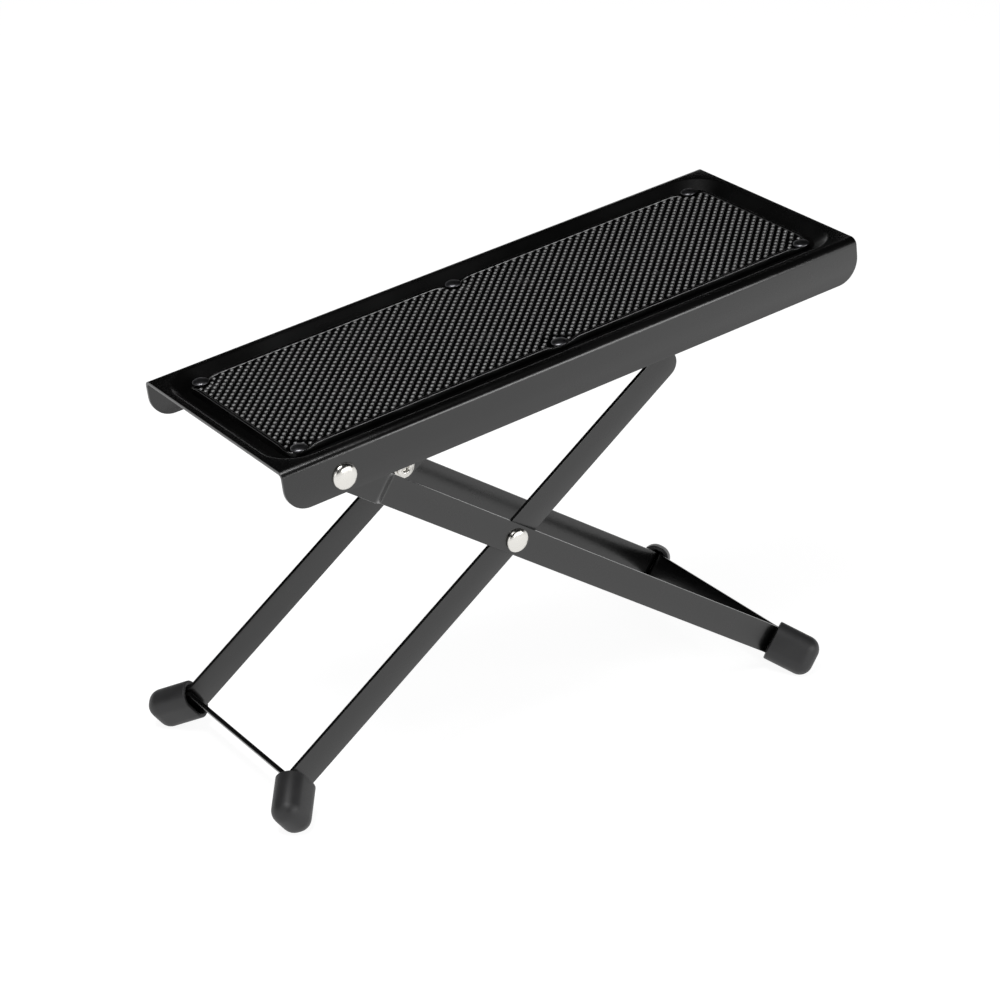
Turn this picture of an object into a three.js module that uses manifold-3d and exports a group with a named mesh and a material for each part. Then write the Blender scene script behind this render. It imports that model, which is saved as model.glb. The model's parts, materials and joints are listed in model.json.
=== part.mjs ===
// A folding footrest for a seated guitar player. A pressed steel platform with a rubber tread lies on
// two crossed U-frames of flat bar. The outer frame is riveted to the platform's low end, the inner
// frame carries a rest rod, and the rod sits in one notch of the two racks under the platform.
import * as THREE from "three";
import { RoundedBoxGeometry } from "three/addons/geometries/RoundedBoxGeometry.js";
import { mergeVertices } from "three/addons/utils/BufferGeometryUtils.js";
import Module from "manifold-3d";

const wasm = await Module();
wasm.setup();

// Platform: a sheet channel with its two flanges down. Its own frame starts at the low end, at the
// level of the rim, with x along the platform and z out of it.
const plateLength = 300;
const plateWidth = 117;
const flangeHeight = 19.6;
const sheet = 1.5;
const plateBend = 3.2;
const flangeCorner = 11;

// The tread lies in a shallow pressed tray, a little below the rim. A border of plate is left free at
// its ends and along its sides.
const matEndBorder = 12;
const matSideBorder = 14.5;
const matLength = plateLength - 2 * matEndBorder;
const matWidth = plateWidth - 2 * matSideBorder;
const matThickness = 3.3;
const matCorner = 6;
const matRim = 1.4;
const matBelowRim = 0.8;
const trayMargin = 4;
const traySlope = 5;
const layGap = 0.1;
const trayDepth = matThickness + matBelowRim + layGap;

// Round studs stand on the tread inside its rim, in rows of which every other one is shifted by half a
// pitch. The solids carry them at twice the real pitch of 4.5 mm, and with few sides.
const studPitch = 9;
const studRadius = 2.2;
const studTopRadius = 1.6;
const studHeight = 0.9;
const studSides = 4;

// Six small rivets hold the tread down, three along each side. The middle pair sits a little towards
// the low end.
const matRivetHeadRadius = 3.7;
const matRivetDome = 1.5;
const matRivetEdge = 0.4;
const matRivetShankRadius = 1.7;
const matRivetTailRadius = 2.8;
const matRivetTailHeight = 1;
const matRivetInset = 2.4;
const matRivetEndInset = 6;
const matRivetOffset = 1.2;
const matDimple = 1.2;
const matDimpleEdge = 0.7;

// Flat bar of both leg frames.
const barWidth = 13.6;
const bar = 2;
const barBend = 3;

// Rivets that the platform and the frames turn on. The shank runs in its holes with a little play.
const shankRadius = 3;
const pivotPlay = 0.08;
const pivotHeadRadius = 5.8;
const pivotDome = 3;
const scissorHeadRadius = 5.5;
const scissorDome = 2.7;
const headEdge = 0.6;
const tailRadius = 4.2;
const tailHeight = 1.6;
const tailBoreRadius = 1.7;
const washer = 1;
const washerRadius = 5.5;
const seatGap = 0.1;

// Platform pivot, from the platform's low end and down from its rim.
const pivotInset = 27.85;
const pivotDrop = 12;

// Lengths along the legs: pivot to scissor rivet, scissor rivet to rest rod, and scissor rivet to the
// outer face of each frame's crossbar.
const pivotArm = 108.9;
const rodArm = 101.7;
const outerFoot = 174.9;
const innerFoot = 142.8;

// Outer faces of the arms, measured from the middle plane. At its pivot each outer arm stands off the
// flange by a spacer. Past it the arm steps inwards, so that the scissor rivet's head stays inside the
// flange when it folds. The inner arm runs beside the outer arm's inner face.
const flangeInside = plateWidth / 2 - sheet;
const pivotSpace = 4;
const armStep = 4.4;
const scissorSpace = 0.9;
const outerArmAtPivot = flangeInside - pivotSpace;
const outerArm = outerArmAtPivot - armStep;
const innerArm = outerArm - bar - scissorSpace;
const stepStart = 25.5;
const stepLength = 5.5;

// At each corner the bar is pinched out into a narrow doubled ear, which carries the rubber foot.
const earGap = 1;
const earReach = 15;

// Rubber foot, pushed over the ear along the corner's diagonal. Its mouth lies a little behind the
// frame's outer corner, and its toe is worn flat where it stands on the floor.
const outerMouthSetback = 1.4;
const innerMouthSetback = 2;
const footLength = 22.4;
const footWidth = 14;
const footDepth = 19.2;
const footRound = 6.3;
const footFit = 0.3;
const mouthFlare = 1.4;
const mouthDepth = 4;
const footWear = 0.4;

// Rest rod and the notches that take it. The notch in use is counted from the platform's low end.
const rodRadius = 4;
const rodGap = 0.3;
const rodWeldGap = 0.1;
const notchCount = 6;
const notchPitch = 20;
const firstNotchInset = 119.2;
const notchInUse = 5;
const notchDrop = 30.3;
const toothBelowRod = 4.7;
const notchLead = THREE.MathUtils.degToRad(10);
const notchEase = THREE.MathUtils.degToRad(2);
const rackSheet = 2;
const rackBesideArm = 11.7;
const rackFace = innerArm - bar - rackBesideArm;
const rackFlange = 13;
const rackEnd = 13;
const rackBend = 2.5;

// How far a cut runs past what it cuts.
const overrun = 1;

// Smoothness of curved faces: straight pieces per quarter turn.
const bendSteps = 4;
const holeSides = 20;
const headSides = 24;
const smallSides = 16;
const footSteps = 4;

const paint = new THREE.MeshStandardMaterial({ color: 0x1b1b1c, roughness: 0.5, metalness: 0.3 });
const rubber = new THREE.MeshStandardMaterial({ color: 0x232324, roughness: 0.85, metalness: 0 });
const nickel = new THREE.MeshStandardMaterial({ color: 0xd8d8d6, roughness: 0.25, metalness: 1 });
const darkSteel = new THREE.MeshStandardMaterial({ color: 0x3a3a3c, roughness: 0.4, metalness: 1 });

const quarter = Math.PI / 2;
const half = (size) => size / 2;

// A geometry as a solid that can be cut and joined.
function solid(geometry) {
  const bare = geometry.index ? geometry.toNonIndexed() : geometry;
  bare.deleteAttribute("normal");
  bare.deleteAttribute("uv");
  const merged = mergeVertices(bare, 1e-4);
  // Triangles that merging has drawn to a line are left out.
  const corners = [];
  for (let i = 0; i < merged.index.count; i += 3) {
    const [a, b, c] = merged.index.array.slice(i, i + 3);
    if (a !== b && b !== c && c !== a) corners.push(a, b, c);
  }
  return new wasm.Manifold(
    new wasm.Mesh({
      numProp: 3,
      vertProperties: merged.attributes.position.array,
      triVerts: new Uint32Array(corners),
    }),
  );
}

// A solid back as a named mesh.
function piece(name, made, material) {
  const { vertProperties, triVerts } = made.getMesh();
  const geometry = new THREE.BufferGeometry();
  geometry.setAttribute("position", new THREE.BufferAttribute(vertProperties, 3));
  geometry.setIndex(new THREE.BufferAttribute(triVerts, 1));
  geometry.computeVertexNormals();
  const mesh = new THREE.Mesh(geometry, material);
  mesh.name = name;
  return mesh;
}

// A shape drawn in two axes and drawn out along the third, from low to high.
const outOf = {
  x: (low) => new THREE.Matrix4().set(0, 0, 1, low, 1, 0, 0, 0, 0, 1, 0, 0, 0, 0, 0, 1),
  y: (low, high) => new THREE.Matrix4().set(1, 0, 0, 0, 0, 0, -1, high, 0, 1, 0, 0, 0, 0, 0, 1),
  z: (low) => new THREE.Matrix4().makeTranslation(0, 0, low),
};
function drawn(shape, axis, low, high, steps = bendSteps) {
  const geometry = new THREE.ExtrudeGeometry(shape, {
    depth: high - low,
    bevelEnabled: false,
    curveSegments: half(steps),
  });
  return solid(geometry.applyMatrix4(outOf[axis](low, high)));
}

// A block from its low corner to its high corner.
function block(low, high) {
  const size = high.map((value, i) => value - low[i]);
  const middle = high.map((value, i) => half(value + low[i]));
  return solid(new THREE.BoxGeometry(...size).translate(...middle));
}

// A straight pin across the object, along y, with its middle at x and z.
function crossPin(radius, x, z, low, high, sides = holeSides) {
  const geometry = new THREE.CylinderGeometry(radius, radius, high - low, sides);
  return solid(geometry.translate(x, half(low + high), z));
}

// A rectangle about the origin with rounded corners.
function roundedRectangle(length, width, corner) {
  const [x, y] = [half(length), half(width)];
  const shape = new THREE.Shape();
  shape.moveTo(x - corner, -y);
  shape.absarc(x - corner, corner - y, corner, -quarter, 0);
  shape.absarc(x - corner, y - corner, corner, 0, quarter);
  shape.absarc(corner - x, y - corner, corner, quarter, 2 * quarter);
  shape.absarc(corner - x, corner - y, corner, 2 * quarter, 3 * quarter);
  return shape;
}

// The outline of a strip of the given thickness that follows a path with a bend at each inner point.
function bentStrip(path, bends, thickness) {
  const centre = [];
  path.forEach((point, i) => {
    const before = path[i - 1];
    const after = path[i + 1];
    if (!before || !after) {
      const along = (after ?? point).clone().sub(before ?? point).normalize();
      centre.push([point, new THREE.Vector2(-along.y, along.x)]);
      return;
    }
    const into = point.clone().sub(before).normalize();
    const out = after.clone().sub(point).normalize();
    const turn = Math.atan2(into.cross(out), into.dot(out));
    const side = Math.sign(turn);
    const left = new THREE.Vector2(-into.y, into.x);
    const start = point.clone().addScaledVector(into, -bends[i] * Math.tan(half(Math.abs(turn))));
    const middle = start.clone().addScaledVector(left, side * bends[i]);
    const steps = Math.max(2, Math.round((bendSteps * Math.abs(turn)) / quarter));
    for (let k = 0; k <= steps; k++) {
      const normal = left.clone().rotateAround(new THREE.Vector2(), (turn * k) / steps);
      centre.push([middle.clone().addScaledVector(normal, -side * bends[i]), normal]);
    }
  });
  const edge = (offset) => centre.map(([at, normal]) => at.clone().addScaledVector(normal, offset));
  return new THREE.Shape([...edge(-half(thickness)), ...edge(half(thickness)).reverse()]);
}

// Where everything stands. Angles and places in the platform's own frame follow from the notch in use
// and from the lengths of the legs, and the platform's slope follows from the feet on the floor.
const turned = (x, z, angle) => [
  x * Math.cos(angle) - z * Math.sin(angle),
  x * Math.sin(angle) + z * Math.cos(angle),
];
const notchX = firstNotchInset + (notchInUse - 1) * notchPitch;
const reachX = notchX - pivotInset;
const reachZ = pivotDrop - notchDrop;
const reach = Math.hypot(reachX, reachZ);
const cornerCosine = (pivotArm ** 2 + reach ** 2 - rodArm ** 2) / (2 * pivotArm * reach);
const outerAngle = Math.atan2(reachZ, reachX) - Math.acos(cornerCosine);
const [armX, armZ] = turned(pivotArm, 0, outerAngle);
const scissorX = pivotInset + armX;
const scissorZ = armZ - pivotDrop;
const innerAngle = Math.atan2(-notchDrop - scissorZ, notchX - scissorX);

const heelReach = (mouth) =>
  (mouth + footLength - footRound + half(footWidth) - footRound) * Math.SQRT1_2;
const heelDrop = half(footDepth) - footRound;
const outerHeel = turned(outerFoot + heelReach(-outerMouthSetback), -heelDrop, outerAngle);
const innerHeel = turned(-innerFoot - heelReach(-innerMouthSetback), -heelDrop, innerAngle);
const slope = -Math.atan2(outerHeel[1] - innerHeel[1], outerHeel[0] - innerHeel[0]);
const [, heelBelow] = turned(outerHeel[0], outerHeel[1], slope);
const scissorHeight = footRound - footWear - heelBelow;
const [plateX, plateZ] = turned(-scissorX, -scissorZ, slope);

// A group whose x axis rises at an angle, placed in the plane of the folding motion.
function tilted(x, z, rise) {
  const group = new THREE.Group();
  group.position.set(x, 0, z);
  group.rotation.y = -rise;
  group.updateMatrixWorld(true);
  return group;
}
const platformGroup = tilted(plateX, scissorHeight + plateZ, slope);
const outerGroup = tilted(0, scissorHeight, slope + outerAngle);
const innerGroup = tilted(0, scissorHeight, slope + innerAngle);

const sides = [
  ["near", -1],
  ["far", 1],
];

// Places of the tread rivets, and the level that their heads press down to.
const matRivetPlaces = [
  matEndBorder + matRivetEndInset,
  half(plateLength) - matRivetOffset,
  plateLength - matEndBorder - matRivetEndInset,
];
const matRivetY = half(matWidth) - matRivetInset;
const matSeat = -matBelowRim - matDimple;
const matRivetHoleRadius = matRivetShankRadius + pivotPlay;

// Platform. The channel is drawn along x, its flanges get their round corners from a side outline,
// and the tray is pressed down between them.
function platform() {
  const y = half(plateWidth) - half(sheet);
  const section = bentStrip(
    [
      new THREE.Vector2(-y, -flangeHeight),
      new THREE.Vector2(-y, -half(sheet)),
      new THREE.Vector2(y, -half(sheet)),
      new THREE.Vector2(y, -flangeHeight),
    ],
    [0, plateBend - half(sheet), plateBend - half(sheet), 0],
    sheet,
  );
  const outline = new THREE.Shape();
  outline.moveTo(0, overrun);
  outline.lineTo(0, flangeCorner - flangeHeight);
  outline.absarc(flangeCorner, flangeCorner - flangeHeight, flangeCorner, 2 * quarter, 3 * quarter);
  outline.absarc(
    plateLength - flangeCorner,
    flangeCorner - flangeHeight,
    flangeCorner,
    3 * quarter,
    4 * quarter,
  );
  outline.lineTo(plateLength, overrun);
  const channel = drawn(section, "x", 0, plateLength).intersect(
    drawn(outline, "y", -plateWidth, plateWidth, 2 * bendSteps),
  );
  // The tray's solid form: a flat floor whose walls lean out as they rise to the rim.
  const tray = (floor, rise, lift) => {
    const geometry = new THREE.ExtrudeGeometry(
      roundedRectangle(
        matLength + 2 * trayMargin,
        matWidth + 2 * trayMargin,
        matCorner + trayMargin,
      ),
      {
        depth: lift,
        bevelThickness: rise,
        bevelSize: traySlope,
        bevelSegments: 1,
        curveSegments: half(bendSteps),
      },
    );
    return solid(geometry.translate(half(plateLength), 0, floor + rise));
  };
  const outside = tray(-trayDepth - sheet, trayDepth, sheet);
  const above = block([-overrun, -plateWidth, 0], [plateLength + overrun, plateWidth, plateWidth]);
  let made = channel.add(outside.subtract(above)).subtract(tray(-trayDepth, trayDepth, sheet));
  made = made.subtract(
    crossPin(shankRadius + pivotPlay, pivotInset, -pivotDrop, -plateWidth, plateWidth),
  );
  matRivetPlaces.forEach((x) =>
    sides.forEach(([, side]) => {
      made = made.subtract(
        standingPin(matRivetHoleRadius, x, side * matRivetY, -trayDepth - 2 * sheet, overrun),
      );
    }),
  );
  return made;
}

// An upright pin, for the tread rivets' holes and for the dimples that their heads press into the
// tread.
function standingPin(radius, x, y, low, high) {
  const geometry = new THREE.CylinderGeometry(radius, radius, high - low, holeSides);
  return solid(geometry.rotateX(quarter).translate(x, y, half(high + low)));
}

// Places of the studs, from the middle of the tread. None stands on the rim or at a rivet's dimple.
function studPlaces() {
  const endX = half(matLength) - matRim - studRadius;
  const endY = half(matWidth) - matRim - studRadius;
  const clear = matRivetHeadRadius + matDimpleEdge + studRadius;
  const rows = Math.floor(endY / half(studPitch));
  const places = [];
  for (let row = -rows; row <= rows; row++) {
    const y = row * half(studPitch);
    const shift = row % 2 ? half(studPitch) : 0;
    const most = Math.floor((endX - shift) / studPitch);
    for (let k = shift ? -most - 1 : -most; k <= most; k++) {
      const x = k * studPitch + shift;
      const nearest = Math.min(
        ...matRivetPlaces.map((at) => Math.hypot(x + half(plateLength) - at, Math.abs(y) - matRivetY)),
      );
      if (nearest > clear) places.push([x, y]);
    }
  }
  return places;
}

// Tread: a sheet with a plain rim, and inside it a lower floor with the field of studs.
function treadMat() {
  const top = -matBelowRim;
  const inRim = (inset) =>
    roundedRectangle(matLength - 2 * inset, matWidth - 2 * inset, matCorner - inset);
  const inside = drawn(inRim(matRim), "z", top - studHeight, top + overrun);
  const studGeometry = new THREE.CylinderGeometry(studTopRadius, studRadius, 2 * studHeight, studSides);
  const stud = solid(studGeometry.rotateX(quarter)).translate([0, 0, top - studHeight]);
  const studs = studPlaces().map(([x, y]) => stud.translate([x, y, 0]));
  const sheetMade = drawn(inRim(0), "z", top - matThickness, top).subtract(inside);
  let made = wasm.Manifold.union([sheetMade, ...studs]);
  made = made.translate([half(plateLength), 0, 0]);
  matRivetPlaces.forEach((x) =>
    sides.forEach(([, side]) => {
      const y = side * matRivetY;
      made = made
        .subtract(standingPin(matRivetHoleRadius, x, y, -trayDepth - 2 * sheet, overrun))
        .subtract(standingPin(matRivetHeadRadius + matDimpleEdge, x, y, matSeat, overrun));
    }),
  );
  return made;
}

// A solid of revolution about the y axis, from [radius, height] points that go up.
function revolved(profile, turns = headSides) {
  return solid(new THREE.LatheGeometry(profile.map(([r, h]) => new THREE.Vector2(r, h)), turns));
}

// Points of a low dome that starts at the rim and ends on the axis.
function dome(radius, height, base) {
  const points = [];
  for (let k = 0; k < bendSteps; k++) {
    const angle = (quarter * k) / bendSteps;
    points.push([radius * Math.cos(angle), base + height * Math.sin(angle)]);
  }
  points.push([0, base + height]);
  return points;
}

// Tread rivet, with its head on the tread and a spread tail under the tray.
function matRivet() {
  const seat = matSeat + layGap;
  const under = -trayDepth - sheet - layGap;
  return revolved(
    [
      [0, under - matRivetTailHeight],
      [matRivetTailRadius - half(layGap), under - matRivetTailHeight],
      [matRivetTailRadius, under],
      [matRivetShankRadius, under],
      [matRivetShankRadius, seat],
      [matRivetHeadRadius, seat],
      ...dome(matRivetHeadRadius, matRivetDome - matRivetEdge, seat + matRivetEdge),
    ],
    smallSides,
  ).rotate([90, 0, 0]);
}

// Pivot rivet along y, with a domed head outside and a rolled hollow tail inside. The seat is the
// face that the head lies on, and the tail ends beyond the clamped stack.
function pivotRivet(headRadius, domeHeight, seat, inner) {
  const end = inner - tailHeight;
  return revolved([
    [0, inner],
    [tailBoreRadius, inner],
    [tailBoreRadius, inner - half(tailHeight)],
    [half(tailBoreRadius + tailRadius), end],
    [tailRadius, inner - half(tailHeight)],
    [half(shankRadius + tailRadius), inner - seatGap],
    [shankRadius, inner - seatGap],
    [shankRadius, seat + seatGap],
    [headRadius, seat + seatGap],
    ...dome(headRadius, domeHeight - headEdge, seat + headEdge),
  ]);
}

// Flat ring about a rivet, from its inner face to its outer face.
function ring(outer, low, high) {
  const bore = shankRadius + pivotPlay;
  return revolved([
    [bore, low],
    [outer, low],
    [outer, high],
    [bore, high],
    [bore, low],
  ]);
}

// The same piece for the near and the far side, standing at x and z. It is drawn for the far side.
const handed = (made, side, x, z) =>
  (side > 0 ? made : made.rotate([180, 0, 0])).translate([x, 0, z]);

// Leg frame, drawn about the scissor rivet with its foot end at positive x. The path of the bar runs
// from one arm's end through both pinched corners to the other arm's end.
function legFrame(arms, footReach, endX, holes) {
  const [, lastY] = arms[arms.length - 1];
  const across = half(earGap + bar);
  const shift = across * Math.SQRT2;
  const crossX = footReach - half(bar);
  const armY = lastY - half(bar);
  const out = earReach * Math.SQRT1_2;
  const step = across * Math.SQRT1_2;
  const nearPath = [
    ...arms.map(([x, y]) => [x, half(bar) - y, barBend]),
    [crossX - shift, -armY, barBend],
    [crossX + out - step, -armY - out - step, across],
    [crossX + out + step, -armY - out + step, across],
    [crossX, shift - armY, barBend],
  ];
  const whole = [...nearPath, ...nearPath.map(([x, y, r]) => [x, -y, r]).reverse()];
  const strip = bentStrip(
    whole.map(([x, y]) => new THREE.Vector2(x, y)),
    whole.map(([, , r]) => r),
    bar,
  );
  const side = new THREE.Shape();
  side.moveTo(endX, -half(barWidth));
  side.lineTo(2 * footReach, -half(barWidth));
  side.lineTo(2 * footReach, half(barWidth));
  side.lineTo(endX, half(barWidth));
  side.absarc(endX, 0, half(barWidth), quarter, 3 * quarter);
  let made = drawn(strip, "z", -half(barWidth), half(barWidth)).intersect(
    drawn(side, "y", -plateWidth, plateWidth, 2 * bendSteps),
  );
  holes.forEach((x) => {
    made = made.subtract(crossPin(shankRadius + pivotPlay, x, 0, -plateWidth, plateWidth));
  });
  return made;
}

function outerLegFrame() {
  return legFrame(
    [
      [-pivotArm - half(barWidth), outerArmAtPivot],
      [stepStart - pivotArm, outerArmAtPivot],
      [stepStart + stepLength - pivotArm, outerArm],
    ],
    outerFoot,
    -pivotArm,
    [-pivotArm, 0],
  );
}

// The inner frame's foot is at its low left end, so it is drawn the other way round and turned over.
function innerLegFrame() {
  return legFrame([[-rodArm - half(barWidth), innerArm]], innerFoot, -rodArm, [0]).rotate([0, 180, 0]);
}

// Rubber foot on the corner at footReach and armY, cut flat where it stands on the floor.
function rubberFoot(group, direction, mouth, footReach, armY, side) {
  const length = 2 * footLength;
  const body = new RoundedBoxGeometry(footWidth, footDepth, length, footSteps, footRound);
  body.translate(0, 0, mouth);
  const before = block([-footDepth, -footDepth, -length], [footDepth, footDepth, mouth]);
  const ear = 2 * bar + earGap + 2 * footFit;
  const deep = barWidth + 2 * footFit;
  const pocketEnd = earReach + half(bar) - bar * Math.SQRT1_2 + footFit;
  const pocket = (width, depth, end) =>
    drawn(roundedRectangle(width, depth, footFit), "z", mouth - footFit, end);
  const hollow = pocket(ear, deep, pocketEnd).add(
    pocket(ear + 2 * mouthFlare, deep + mouthFlare, mouth + mouthDepth),
  );
  const made = solid(body).subtract(before).subtract(hollow);
  // Its axis, which is drawn along z, goes to the corner's outward diagonal, and its depth stays
  // square to the frame.
  const axis = new THREE.Vector3(direction, side, 0).normalize();
  const upright = new THREE.Vector3(0, 0, 1);
  const place = new THREE.Matrix4()
    .makeBasis(upright.clone().cross(axis), upright, axis)
    .setPosition(direction * footReach, side * armY, 0);
  const floor = new THREE.BoxGeometry(4 * plateLength, 4 * plateWidth, plateWidth)
    .translate(0, 0, -half(plateWidth))
    .applyMatrix4(group.matrixWorld.clone().invert());
  return made.transform(place.elements).subtract(solid(floor));
}

// Rack: an angle of sheet under the tray, with open notches along its hanging edge. Each notch leans
// so that the rod can drop out of it as the legs start to close or the platform is lifted.
function rack() {
  const top = -trayDepth - sheet - layGap;
  const low = -notchDrop - toothBelowRod;
  const first = firstNotchInset - rackEnd;
  const last = firstNotchInset + (notchCount - 1) * notchPitch + rackEnd;
  const wall = rackFace - half(rackSheet);
  const angle = bentStrip(
    [
      new THREE.Vector2(wall - rackFlange, top - half(rackSheet)),
      new THREE.Vector2(wall, top - half(rackSheet)),
      new THREE.Vector2(wall, low),
    ],
    [0, rackBend, 0],
    rackSheet,
  );
  let made = drawn(angle, "x", first, last);
  const radius = rodRadius + rodGap;
  const fall = quarter - innerAngle - notchEase;
  const from = 2 * quarter - notchLead;
  const to = quarter - fall;
  const down = 2 * toothBelowRod;
  for (let i = 0; i < notchCount; i++) {
    const x = firstNotchInset + i * notchPitch;
    const points = [];
    const at = (angleAt) => [radius * Math.cos(angleAt), radius * Math.sin(angleAt)];
    const [leftX, leftZ] = at(from);
    points.push([leftX - Math.tan(notchLead) * (leftZ + down), -down]);
    for (let k = 0; k <= 3 * bendSteps; k++) points.push(at(from + ((to - from) * k) / (3 * bendSteps)));
    const [rightX, rightZ] = at(to);
    points.push([rightX + (rightZ + down) / Math.tan(fall), -down]);
    const notch = new THREE.Shape(points.map(([px, pz]) => new THREE.Vector2(x + px, pz - notchDrop)));
    made = made.subtract(drawn(notch, "y", 0, plateWidth));
  }
  return made;
}

// Platform with its tread, racks and rivets.
platformGroup.add(piece("platform", platform(), paint));
platformGroup.add(piece("tread_mat", treadMat(), rubber));
["low", "middle", "high"].forEach((where, i) =>
  sides.forEach(([name, side]) => {
    const made = matRivet().translate([matRivetPlaces[i], side * matRivetY, 0]);
    platformGroup.add(piece(`mat_rivet_${where}_${name}`, made, darkSteel));
  }),
);
sides.forEach(([name, side]) => {
  const rackMade = side > 0 ? rack() : rack().mirror([0, 1, 0]);
  platformGroup.add(piece(`rack_${name}`, rackMade, paint));
  const washerFace = outerArmAtPivot - bar - seatGap;
  const parts = [
    ["platform_pivot_rivet", pivotRivet(pivotHeadRadius, pivotDome, half(plateWidth), washerFace - washer)],
    ["platform_pivot_spacer", ring(washerRadius, outerArmAtPivot + seatGap, flangeInside - seatGap)],
    ["platform_pivot_washer", ring(washerRadius, washerFace - washer, washerFace)],
  ];
  parts.forEach(([part, made]) =>
    platformGroup.add(piece(`${part}_${name}`, handed(made, side, pivotInset, -pivotDrop), nickel)),
  );
});

// Outer frame with the scissor rivets and its feet.
outerGroup.add(piece("outer_leg_frame", outerLegFrame(), paint));
sides.forEach(([name, side]) => {
  const washerFace = innerArm - bar - seatGap;
  const parts = [
    ["scissor_rivet", pivotRivet(scissorHeadRadius, scissorDome, outerArm, washerFace - washer)],
    ["scissor_spacer", ring(washerRadius, innerArm + seatGap, outerArm - bar - seatGap)],
    ["scissor_washer", ring(washerRadius, washerFace - washer, washerFace)],
  ];
  parts.forEach(([part, made]) =>
    outerGroup.add(piece(`${part}_${name}`, handed(made, side, 0, 0), nickel)),
  );
  const foot = rubberFoot(outerGroup, 1, -outerMouthSetback, outerFoot, outerArm, side);
  outerGroup.add(piece(`outer_foot_${name}`, foot, rubber));
});

// Inner frame with the rest rod between its arms' ends, and its feet.
innerGroup.add(piece("inner_leg_frame", innerLegFrame(), paint));
const rodEnd = innerArm - bar - rodWeldGap;
innerGroup.add(
  piece("rest_rod", crossPin(rodRadius, rodArm, 0, -rodEnd, rodEnd, headSides), paint),
);
sides.forEach(([name, side]) => {
  const foot = rubberFoot(innerGroup, -1, -innerMouthSetback, innerFoot, innerArm, side);
  innerGroup.add(piece(`inner_foot_${name}`, foot, rubber));
});

// The origin is on the floor under the middle of the whole footrest.
const footrest = new THREE.Group();
footrest.name = "guitar_footrest";
footrest.add(platformGroup, outerGroup, innerGroup);
footrest.updateMatrixWorld(true);
const bounds = new THREE.Box3().setFromObject(footrest);
footrest.position.x = -half(bounds.min.x + bounds.max.x);

export default footrest;
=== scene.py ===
# %% [markdown]
# # A folding footrest for a guitar player
# A pressed steel platform with a studded rubber tread stands on two crossed frames of flat bar, with a
# rubber foot at each corner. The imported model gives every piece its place, so that this script only
# has to make each one look like the real thing. The model comes in first, and stays as it is.

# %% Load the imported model
import json
import math

import bmesh
import bpy
from mathutils import Matrix, Vector


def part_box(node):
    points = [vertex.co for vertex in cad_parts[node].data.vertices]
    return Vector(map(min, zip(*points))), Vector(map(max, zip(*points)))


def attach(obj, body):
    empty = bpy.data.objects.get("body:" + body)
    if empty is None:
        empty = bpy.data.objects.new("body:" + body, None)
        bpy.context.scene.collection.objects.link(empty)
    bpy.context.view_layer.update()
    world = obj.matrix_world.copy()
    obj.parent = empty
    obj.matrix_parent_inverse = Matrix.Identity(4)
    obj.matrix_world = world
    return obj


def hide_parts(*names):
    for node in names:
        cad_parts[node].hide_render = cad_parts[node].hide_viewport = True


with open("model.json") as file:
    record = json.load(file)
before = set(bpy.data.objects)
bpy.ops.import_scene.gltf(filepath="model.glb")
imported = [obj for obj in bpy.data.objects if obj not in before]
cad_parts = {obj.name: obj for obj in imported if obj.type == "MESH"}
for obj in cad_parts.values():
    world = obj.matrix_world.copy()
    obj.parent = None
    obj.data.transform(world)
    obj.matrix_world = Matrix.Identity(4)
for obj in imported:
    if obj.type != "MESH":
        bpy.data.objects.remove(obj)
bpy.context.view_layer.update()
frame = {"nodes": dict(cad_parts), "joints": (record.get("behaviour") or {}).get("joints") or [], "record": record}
record = frame["record"]
joints = {joint["name"]: Vector(joint["pos_m"]) for joint in frame["joints"]}

# %% [markdown]
# ## Three places to build in
# The platform and the two leg frames each stand at a slope of their own. It is easier to draw a piece
# flat, in millimetres, in the place where it would be made, and then to carry its mesh to its slope.
# The slopes come from the model: the platform's from the tread's face, the outer frame's from the line
# between its two rivets, and the inner frame's from the line from the scissor rivet to the rest rod.

# %% Places of the platform and of the two frames
MM = 0.001
# The pivot's place from the platform's low end and top, and the arms from the scissor to pivot and rod.
pivot_inset = 27.85
pivot_drop = 12.0
pivot_arm = 108.9
rod_arm = 101.7


def upright_place(origin, along):
    """The place of a flat drawing whose x runs along a direction in the plane of the fold."""
    x = Vector(along).normalized()
    y = Vector((0, 1, 0))
    turn = Matrix((x, y, x.cross(y))).transposed().to_4x4()
    return Matrix.Translation(origin) @ turn @ Matrix.Scale(MM, 4)


tread_face = next(m for m in record["mounts"] if m["name"] == "tread_top")
face_out = Vector(tread_face["axis"])
scissor = joints["leg_fold"]
rod_low, rod_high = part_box("rest_rod")
rod_centre = (rod_low + rod_high) / 2
on_platform = upright_place(joints["platform_lift"], (face_out.z, 0, -face_out.x)) @ Matrix.Translation(
    (-pivot_inset, 0, pivot_drop)
)
on_outer = upright_place(scissor, scissor - joints["platform_lift"])
on_inner = upright_place(scissor, rod_centre - scissor)
for name, place in (("platform", on_platform), ("outer", on_outer), ("inner", on_inner)):
    start = [round(c / MM, 1) for c in place.to_translation()]
    rise = math.degrees(math.atan2(place[2][0], place[0][0]))
    print(name, "frame starts at", start, "and rises", round(rise, 2))

# %% [markdown]
# ## Camera
# The photograph was taken from the front left, a little above the platform, with a long lens. These
# numbers come from lining up the model's corners with the picture.

# %% Camera
camera_data = bpy.data.cameras.new("camera")
camera_data.lens = 106.76
camera_data.sensor_width = 36
camera = bpy.data.objects.new("camera", camera_data)
bpy.context.scene.collection.objects.link(camera)
camera.location = (-0.686817, -1.003445, 0.6575)
camera.rotation_euler = [math.radians(a) for a in (65.34383, -0.92777, -33.98342)]
bpy.context.scene.camera = camera
bpy.context.scene.view_settings.view_transform = "Standard"
print("camera", round(camera.location.length, 3), "m from the origin")

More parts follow.
